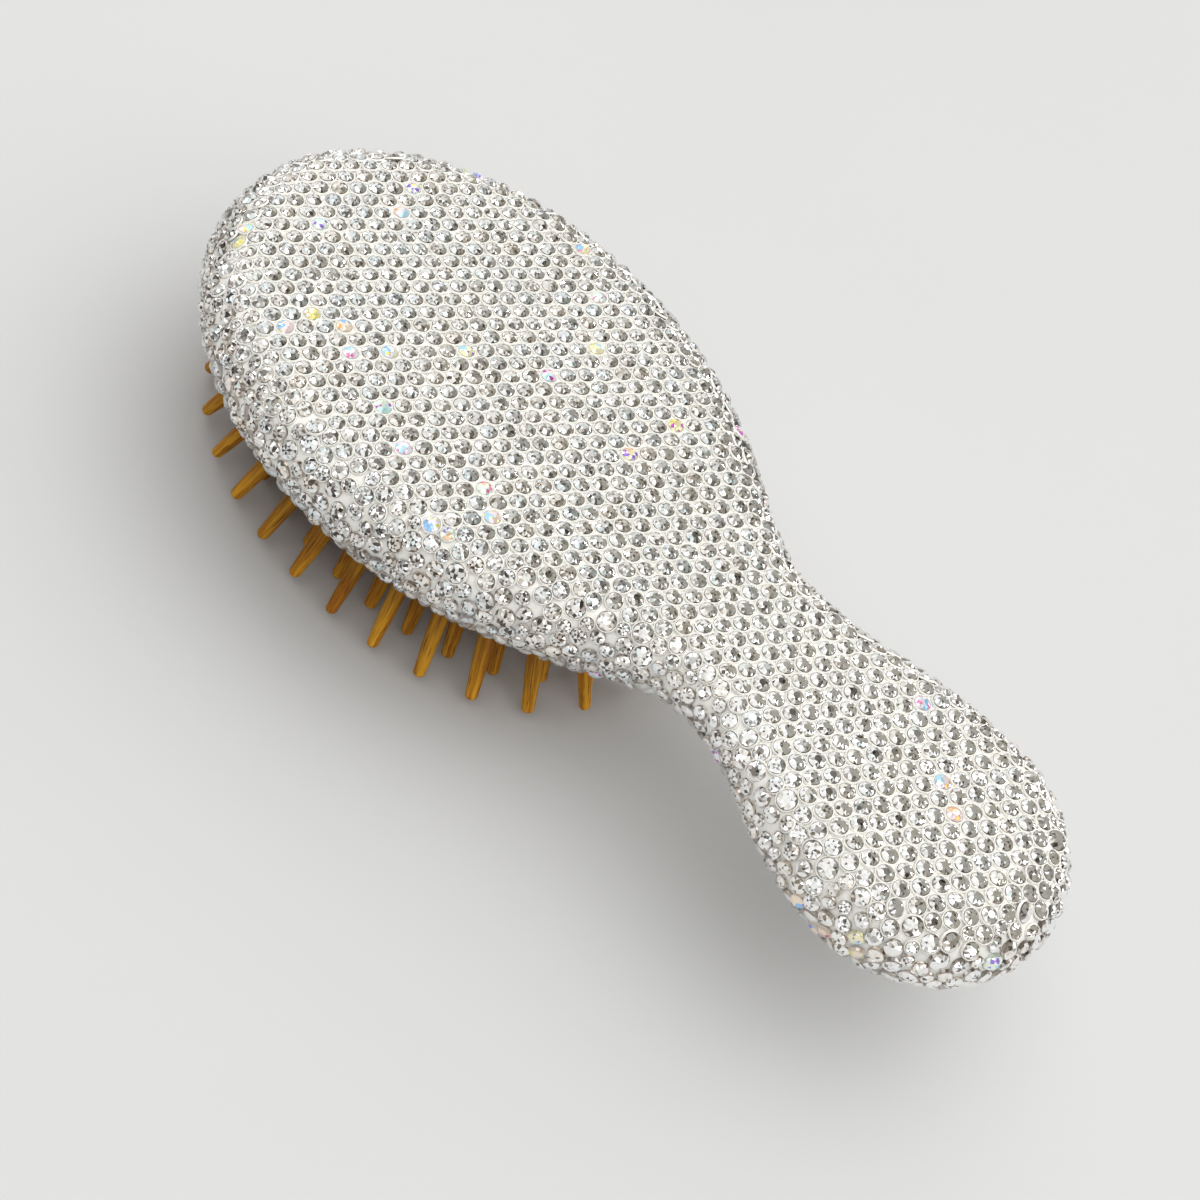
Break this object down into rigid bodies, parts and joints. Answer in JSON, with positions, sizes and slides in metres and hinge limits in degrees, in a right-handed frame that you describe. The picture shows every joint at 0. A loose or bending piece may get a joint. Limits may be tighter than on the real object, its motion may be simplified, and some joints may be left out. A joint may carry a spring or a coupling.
{
  "type": "cushion hairbrush",
  "caption": "Oval cushion hairbrush with rocking wooden pins in a rubber air cushion, its back, edge and handle set all over with small clear stones.",
  "frame": {"origin": "centre of the head, on the flat back of the brush", "axes": "+X along the brush to the handle, +Y across it, +Z out of the flat back, so the pins point to -Z"},
  "size_m": [0.1723, 0.0742, 0.0365],
  "materials": {
    "crystal": "small faceted clear stones, polished",
    "clay": "white setting clay, satin",
    "beech": "sanded wooden core",
    "rubber": "matt dark rubber membrane",
    "foam": "open foam sheet",
    "pin_wood": "waxed golden wood with lengthwise grain"
  },
  "bodies": {
    "brush": {"brush_body": "beech", "clay_setting": "clay", "rhinestone_layer": "crystal", "cushion_pad": "rubber"},
    "cushion": {"pin_backing": "foam"},
    "pin_outer_01": {"pin_outer_01": "pin_wood"},
    "pin_outer_02": {"pin_outer_02": "pin_wood"},
    "pin_outer_03": {"pin_outer_03": "pin_wood"},
    "pin_outer_04": {"pin_outer_04": "pin_wood"},
    "pin_outer_05": {"pin_outer_05": "pin_wood"},
    "pin_outer_06": {"pin_outer_06": "pin_wood"},
    "pin_outer_07": {"pin_outer_07": "pin_wood"},
    "pin_outer_08": {"pin_outer_08": "pin_wood"},
    "pin_outer_09": {"pin_outer_09": "pin_wood"},
    "pin_outer_10": {"pin_outer_10": "pin_wood"},
    "pin_outer_11": {"pin_outer_11": "pin_wood"},
    "pin_outer_12": {"pin_outer_12": "pin_wood"},
    "pin_outer_13": {"pin_outer_13": "pin_wood"},
    "pin_outer_14": {"pin_outer_14": "pin_wood"},
    "pin_outer_15": {"pin_outer_15": "pin_wood"},
    "pin_outer_16": {"pin_outer_16": "pin_wood"},
    "pin_outer_17": {"pin_outer_17": "pin_wood"},
    "pin_outer_18": {"pin_outer_18": "pin_wood"},
    "pin_outer_19": {"pin_outer_19": "pin_wood"},
    "pin_outer_20": {"pin_outer_20": "pin_wood"},
    "pin_outer_21": {"pin_outer_21": "pin_wood"},
    "pin_outer_22": {"pin_outer_22": "pin_wood"},
    "pin_second_01": {"pin_second_01": "pin_wood"},
    "pin_second_02": {"pin_second_02": "pin_wood"},
    "pin_second_03": {"pin_second_03": "pin_wood"},
    "pin_second_04": {"pin_second_04": "pin_wood"},
    "pin_second_05": {"pin_second_05": "pin_wood"},
    "pin_second_06": {"pin_second_06": "pin_wood"},
    "pin_second_07": {"pin_second_07": "pin_wood"},
    "pin_second_08": {"pin_second_08": "pin_wood"},
    "pin_second_09": {"pin_second_09": "pin_wood"},
    "pin_second_10": {"pin_second_10": "pin_wood"},
    "pin_second_11": {"pin_second_11": "pin_wood"},
    "pin_second_12": {"pin_second_12": "pin_wood"},
    "pin_second_13": {"pin_second_13": "pin_wood"},
    "pin_second_14": {"pin_second_14": "pin_wood"},
    "pin_second_15": {"pin_second_15": "pin_wood"},
    "pin_second_16": {"pin_second_16": "pin_wood"},
    "pin_second_17": {"pin_second_17": "pin_wood"},
    "pin_second_18": {"pin_second_18": "pin_wood"},
    "pin_second_19": {"pin_second_19": "pin_wood"},
    "pin_second_20": {"pin_second_20": "pin_wood"},
    "pin_second_21": {"pin_second_21": "pin_wood"},
    "pin_second_22": {"pin_second_22": "pin_wood"},
    "pin_second_23": {"pin_second_23": "pin_wood"},
    "pin_second_24": {"pin_second_24": "pin_wood"}
  },
  "joints": [
    {"name": "cushion_press", "type": "slide", "parent": "brush", "child": "cushion", "axis": [0, 0, 1], "range_m": [0, 0.0025], "stiffness_N_per_m": 2000, "deforming": ["cushion_pad"]},
    {"name": "pin_outer_01_rock", "type": "hinge", "parent": "cushion", "child": "pin_outer_01", "pos_m": [-0.03171, 0.01263, -0.01793], "axis": [1, 0, 0], "range_deg": [-10, 10], "stiffness_Nm_per_rad": 0.002},
    {"name": "pin_outer_02_rock", "type": "hinge", "parent": "cushion", "child": "pin_outer_02", "pos_m": [-0.02614, 0.01689, -0.01811], "axis": [1, 0, 0], "range_deg": [-10, 10], "stiffness_Nm_per_rad": 0.002},
    {"name": "pin_outer_03_rock", "type": "hinge", "parent": "cushion", "child": "pin_outer_03", "pos_m": [-0.01976, 0.01983, -0.01825], "axis": [1, 0, 0], "range_deg": [-10, 10], "stiffness_Nm_per_rad": 0.002},
    {"name": "pin_outer_04_rock", "type": "hinge", "parent": "cushion", "child": "pin_outer_04", "pos_m": [-0.01299, 0.02171, -0.01833], "axis": [1, 0, 0], "range_deg": [-10, 10], "stiffness_Nm_per_rad": 0.002},
    {"name": "pin_outer_05_rock", "type": "hinge", "parent": "cushion", "child": "pin_outer_05", "pos_m": [-0.00603, 0.02271, -0.01837], "axis": [1, 0, 0], "range_deg": [-10, 10], "stiffness_Nm_per_rad": 0.002},
    {"name": "pin_outer_06_rock", "type": "hinge", "parent": "cushion", "child": "pin_outer_06", "pos_m": [0.001, 0.023, -0.01838], "axis": [1, 0, 0], "range_deg": [-10, 10], "stiffness_Nm_per_rad": 0.002},
    {"name": "pin_outer_07_rock", "type": "hinge", "parent": "cushion", "child": "pin_outer_07", "pos_m": [0.00803, 0.02271, -0.01837], "axis": [1, 0, 0], "range_deg": [-10, 10], "stiffness_Nm_per_rad": 0.002},
    {"name": "pin_outer_08_rock", "type": "hinge", "parent": "cushion", "child": "pin_outer_08", "pos_m": [0.01499, 0.02171, -0.01833], "axis": [1, 0, 0], "range_deg": [-10, 10], "stiffness_Nm_per_rad": 0.002},
    {"name": "pin_outer_09_rock", "type": "hinge", "parent": "cushion", "child": "pin_outer_09", "pos_m": [0.02176, 0.01983, -0.01825], "axis": [1, 0, 0], "range_deg": [-10, 10], "stiffness_Nm_per_rad": 0.002},
    {"name": "pin_outer_10_rock", "type": "hinge", "parent": "cushion", "child": "pin_outer_10", "pos_m": [0.02814, 0.01689, -0.01811], "axis": [1, 0, 0], "range_deg": [-10, 10], "stiffness_Nm_per_rad": 0.002},
    {"name": "pin_outer_11_rock", "type": "hinge", "parent": "cushion", "child": "pin_outer_11", "pos_m": [0.03371, 0.01263, -0.01793], "axis": [1, 0, 0], "range_deg": [-10, 10], "stiffness_Nm_per_rad": 0.002},
    {"name": "pin_outer_12_rock", "type": "hinge", "parent": "cushion", "child": "pin_outer_12", "pos_m": [0.03371, -0.01263, -0.01793], "axis": [1, 0, 0], "range_deg": [-10, 10], "stiffness_Nm_per_rad": 0.002},
    {"name": "pin_outer_13_rock", "type": "hinge", "parent": "cushion", "child": "pin_outer_13", "pos_m": [0.02814, -0.01689, -0.01811], "axis": [1, 0, 0], "range_deg": [-10, 10], "stiffness_Nm_per_rad": 0.002},
    {"name": "pin_outer_14_rock", "type": "hinge", "parent": "cushion", "child": "pin_outer_14", "pos_m": [0.02176, -0.01983, -0.01825], "axis": [1, 0, 0], "range_deg": [-10, 10], "stiffness_Nm_per_rad": 0.002},
    {"name": "pin_outer_15_rock", "type": "hinge", "parent": "cushion", "child": "pin_outer_15", "pos_m": [0.01499, -0.02171, -0.01833], "axis": [1, 0, 0], "range_deg": [-10, 10], "stiffness_Nm_per_rad": 0.002},
    {"name": "pin_outer_16_rock", "type": "hinge", "parent": "cushion", "child": "pin_outer_16", "pos_m": [0.00803, -0.02271, -0.01837], "axis": [1, 0, 0], "range_deg": [-10, 10], "stiffness_Nm_per_rad": 0.002},
    {"name": "pin_outer_17_rock", "type": "hinge", "parent": "cushion", "child": "pin_outer_17", "pos_m": [0.001, -0.023, -0.01838], "axis": [1, 0, 0], "range_deg": [-10, 10], "stiffness_Nm_per_rad": 0.002},
    {"name": "pin_outer_18_rock", "type": "hinge", "parent": "cushion", "child": "pin_outer_18", "pos_m": [-0.00603, -0.02271, -0.01837], "axis": [1, 0, 0], "range_deg": [-10, 10], "stiffness_Nm_per_rad": 0.002},
    {"name": "pin_outer_19_rock", "type": "hinge", "parent": "cushion", "child": "pin_outer_19", "pos_m": [-0.01299, -0.02171, -0.01833], "axis": [1, 0, 0], "range_deg": [-10, 10], "stiffness_Nm_per_rad": 0.002},
    {"name": "pin_outer_20_rock", "type": "hinge", "parent": "cushion", "child": "pin_outer_20", "pos_m": [-0.01976, -0.01983, -0.01825], "axis": [1, 0, 0], "range_deg": [-10, 10], "stiffness_Nm_per_rad": 0.002},
    {"name": "pin_outer_21_rock", "type": "hinge", "parent": "cushion", "child": "pin_outer_21", "pos_m": [-0.02614, -0.01689, -0.01811], "axis": [1, 0, 0], "range_deg": [-10, 10], "stiffness_Nm_per_rad": 0.002},
    {"name": "pin_outer_22_rock", "type": "hinge", "parent": "cushion", "child": "pin_outer_22", "pos_m": [-0.03171, -0.01263, -0.01793], "axis": [1, 0, 0], "range_deg": [-10, 10], "stiffness_Nm_per_rad": 0.002},
    {"name": "pin_second_01_rock", "type": "hinge", "parent": "cushion", "child": "pin_second_01", "pos_m": [-0.02929, 0.00841, -0.01895], "axis": [1, 0, 0], "range_deg": [-10, 10], "stiffness_Nm_per_rad": 0.002},
    {"name": "pin_second_02_rock", "type": "hinge", "parent": "cushion", "child": "pin_second_02", "pos_m": [-0.02492, 0.01253, -0.01915], "axis": [1, 0, 0], "range_deg": [-10, 10], "stiffness_Nm_per_rad": 0.002},
    {"name": "pin_second_03_rock", "type": "hinge", "parent": "cushion", "child": "pin_second_03", "pos_m": [-0.01964, 0.01541, -0.01934], "axis": [1, 0, 0], "range_deg": [-10, 10], "stiffness_Nm_per_rad": 0.002},
    {"name": "pin_second_04_rock", "type": "hinge", "parent": "cushion", "child": "pin_second_04", "pos_m": [-0.01393, 0.01732, -0.01948], "axis": [1, 0, 0], "range_deg": [-10, 10], "stiffness_Nm_per_rad": 0.002},
    {"name": "pin_second_05_rock", "type": "hinge", "parent": "cushion", "child": "pin_second_05", "pos_m": [-0.00802, 0.01845, -0.01956], "axis": [1, 0, 0], "range_deg": [-10, 10], "stiffness_Nm_per_rad": 0.002},
    {"name": "pin_second_06_rock", "type": "hinge", "parent": "cushion", "child": "pin_second_06", "pos_m": [-0.00201, 0.01895, -0.01959], "axis": [1, 0, 0], "range_deg": [-10, 10], "stiffness_Nm_per_rad": 0.002},
    {"name": "pin_second_07_rock", "type": "hinge", "parent": "cushion", "child": "pin_second_07", "pos_m": [0.00401, 0.01895, -0.01959], "axis": [1, 0, 0], "range_deg": [-10, 10], "stiffness_Nm_per_rad": 0.002},
    {"name": "pin_second_08_rock", "type": "hinge", "parent": "cushion", "child": "pin_second_08", "pos_m": [0.01002, 0.01845, -0.01956], "axis": [1, 0, 0], "range_deg": [-10, 10], "stiffness_Nm_per_rad": 0.002},
    {"name": "pin_second_09_rock", "type": "hinge", "parent": "cushion", "child": "pin_second_09", "pos_m": [0.01593, 0.01732, -0.01948], "axis": [1, 0, 0], "range_deg": [-10, 10], "stiffness_Nm_per_rad": 0.002},
    {"name": "pin_second_10_rock", "type": "hinge", "parent": "cushion", "child": "pin_second_10", "pos_m": [0.02164, 0.01541, -0.01934], "axis": [1, 0, 0], "range_deg": [-10, 10], "stiffness_Nm_per_rad": 0.002},
    {"name": "pin_second_11_rock", "type": "hinge", "parent": "cushion", "child": "pin_second_11", "pos_m": [0.02692, 0.01253, -0.01915], "axis": [1, 0, 0], "range_deg": [-10, 10], "stiffness_Nm_per_rad": 0.002},
    {"name": "pin_second_12_rock", "type": "hinge", "parent": "cushion", "child": "pin_second_12", "pos_m": [0.03129, 0.00841, -0.01895], "axis": [1, 0, 0], "range_deg": [-10, 10], "stiffness_Nm_per_rad": 0.002},
    {"name": "pin_second_13_rock", "type": "hinge", "parent": "cushion", "child": "pin_second_13", "pos_m": [0.03129, -0.00841, -0.01895], "axis": [1, 0, 0], "range_deg": [-10, 10], "stiffness_Nm_per_rad": 0.002},
    {"name": "pin_second_14_rock", "type": "hinge", "parent": "cushion", "child": "pin_second_14", "pos_m": [0.02692, -0.01253, -0.01915], "axis": [1, 0, 0], "range_deg": [-10, 10], "stiffness_Nm_per_rad": 0.002},
    {"name": "pin_second_15_rock", "type": "hinge", "parent": "cushion", "child": "pin_second_15", "pos_m": [0.02164, -0.01541, -0.01934], "axis": [1, 0, 0], "range_deg": [-10, 10], "stiffness_Nm_per_rad": 0.002},
    {"name": "pin_second_16_rock", "type": "hinge", "parent": "cushion", "child": "pin_second_16", "pos_m": [0.01593, -0.01732, -0.01948], "axis": [1, 0, 0], "range_deg": [-10, 10], "stiffness_Nm_per_rad": 0.002},
    {"name": "pin_second_17_rock", "type": "hinge", "parent": "cushion", "child": "pin_second_17", "pos_m": [0.01002, -0.01845, -0.01956], "axis": [1, 0, 0], "range_deg": [-10, 10], "stiffness_Nm_per_rad": 0.002},
    {"name": "pin_second_18_rock", "type": "hinge", "parent": "cushion", "child": "pin_second_18", "pos_m": [0.00401, -0.01895, -0.01959], "axis": [1, 0, 0], "range_deg": [-10, 10], "stiffness_Nm_per_rad": 0.002},
    {"name": "pin_second_19_rock", "type": "hinge", "parent": "cushion", "child": "pin_second_19", "pos_m": [-0.00201, -0.01895, -0.01959], "axis": [1, 0, 0], "range_deg": [-10, 10], "stiffness_Nm_per_rad": 0.002},
    {"name": "pin_second_20_rock", "type": "hinge", "parent": "cushion", "child": "pin_second_20", "pos_m": [-0.00802, -0.01845, -0.01956], "axis": [1, 0, 0], "range_deg": [-10, 10], "stiffness_Nm_per_rad": 0.002},
    {"name": "pin_second_21_rock", "type": "hinge", "parent": "cushion", "child": "pin_second_21", "pos_m": [-0.01393, -0.01732, -0.01948], "axis": [1, 0, 0], "range_deg": [-10, 10], "stiffness_Nm_per_rad": 0.002},
    {"name": "pin_second_22_rock", "type": "hinge", "parent": "cushion", "child": "pin_second_22", "pos_m": [-0.01964, -0.01541, -0.01934], "axis": [1, 0, 0], "range_deg": [-10, 10], "stiffness_Nm_per_rad": 0.002},
    {"name": "pin_second_23_rock", "type": "hinge", "parent": "cushion", "child": "pin_second_23", "pos_m": [-0.02492, -0.01253, -0.01915], "axis": [1, 0, 0], "range_deg": [-10, 10], "stiffness_Nm_per_rad": 0.002},
    {"name": "pin_second_24_rock", "type": "hinge", "parent": "cushion", "child": "pin_second_24", "pos_m": [-0.02929, -0.00841, -0.01895], "axis": [1, 0, 0], "range_deg": [-10, 10], "stiffness_Nm_per_rad": 0.002}
  ]
}
